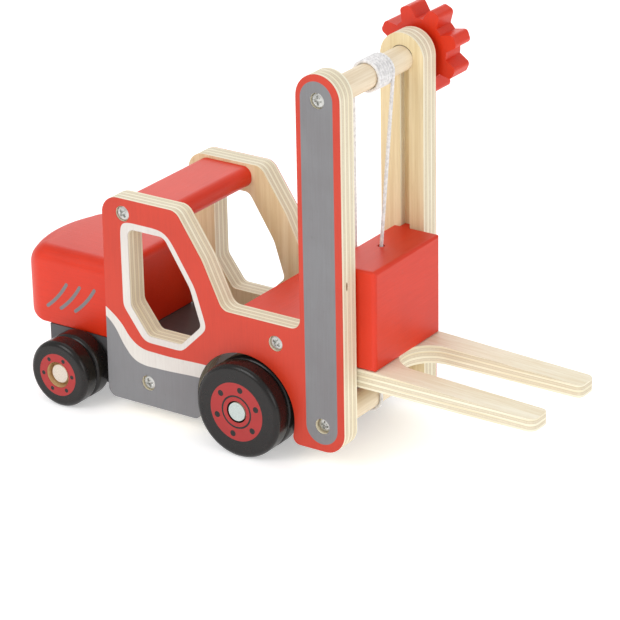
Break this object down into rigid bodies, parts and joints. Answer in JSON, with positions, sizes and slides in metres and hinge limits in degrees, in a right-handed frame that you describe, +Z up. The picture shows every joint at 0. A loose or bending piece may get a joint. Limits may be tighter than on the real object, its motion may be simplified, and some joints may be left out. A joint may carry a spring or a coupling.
{
  "type": "toy forklift",
  "caption": "Wooden toy forklift: two plywood sides joined by boards, rolling wheels, and a fork carriage raised between mast uprights by a cord winch with a hand wheel.",
  "frame": {"origin": "on the ground, under the middle of the whole toy's bounding box", "axes": "the toy's own middle plane is at y = -3.15 mm, because the hand wheel stands out on the left only; +X towards the fork tips, +Y to the toy's left (the hand-wheel side), +Z up; shown at rest with the forks fully lowered"},
  "size_m": [0.3174, 0.115, 0.2176],
  "materials": {
    "red_plywood": "satin red paint on the faces, bare ply edges",
    "red_wood": "satin red paint",
    "grey_wood": "satin grey paint",
    "bare_wood": "bare, sanded smooth",
    "black_wood": "gloss black paint with a printed red hub",
    "cotton_cord": "twisted white cotton",
    "zinc_steel": "bright zinc plate"
  },
  "bodies": {
    "truck": {"right_side_panel": "red_plywood", "left_side_panel": "red_plywood", "chassis_board": "grey_wood", "rear_body": "red_wood", "roof_board": "red_wood", "bonnet_block": "red_wood", "lower_dowel": "bare_wood", "cord_front_run": "cotton_cord", "cord_rear_run": "cotton_cord", "cord_lower_run": "cotton_cord", "roof_screw_right": "zinc_steel", "roof_screw_left": "zinc_steel", "bonnet_screw_right": "zinc_steel", "bonnet_screw_left": "zinc_steel", "chassis_screw_right": "zinc_steel", "chassis_screw_left": "zinc_steel", "dowel_screw_right": "zinc_steel", "dowel_screw_left": "zinc_steel", "body_screw_front": "zinc_steel", "body_screw_rear": "zinc_steel"},
    "carriage": {"carriage_block": "red_wood", "fork_plate": "bare_wood", "fork_screw_right": "zinc_steel", "fork_screw_left": "zinc_steel", "cord_upper_tail": "cotton_cord", "cord_lower_tail": "cotton_cord"},
    "winch": {"winch_drum": "bare_wood", "winch_hand_wheel": "red_wood", "winch_pivot_screw": "zinc_steel", "cord_turns": "cotton_cord"},
    "front_wheels": {"front_axle": "bare_wood", "front_wheel_right_outer": "black_wood", "front_wheel_right_inner": "black_wood", "front_wheel_left_outer": "black_wood", "front_wheel_left_inner": "black_wood"},
    "rear_wheels": {"rear_axle": "bare_wood", "rear_wheel_right_outer": "black_wood", "rear_wheel_right_inner": "black_wood", "rear_wheel_left_outer": "black_wood", "rear_wheel_left_inner": "black_wood"}
  },
  "joints": [
    {"name": "fork_lift", "type": "slide", "parent": "truck", "child": "carriage", "axis": [0, 0, 1], "range_m": [0, 0.076], "deforming": ["cord_front_run", "cord_lower_run"]},
    {"name": "winch_turn", "type": "hinge", "parent": "truck", "child": "winch", "pos_m": [0.04555, -0.00315, 0.1957], "axis": [0, -1, 0], "range_deg": [0, 577]},
    {"name": "front_axle_turn", "type": "hinge", "parent": "truck", "child": "front_wheels", "pos_m": [0.00045, -0.00315, 0.0254], "axis": [0, 1, 0], "continuous": true},
    {"name": "rear_axle_turn", "type": "hinge", "parent": "truck", "child": "rear_wheels", "pos_m": [-0.11455, -0.00315, 0.0183], "axis": [0, 1, 0], "continuous": true}
  ],
  "couplings": [
    {"joint": "winch_turn", "follows": "fork_lift", "rad_per_m": 132.28}
  ]
}
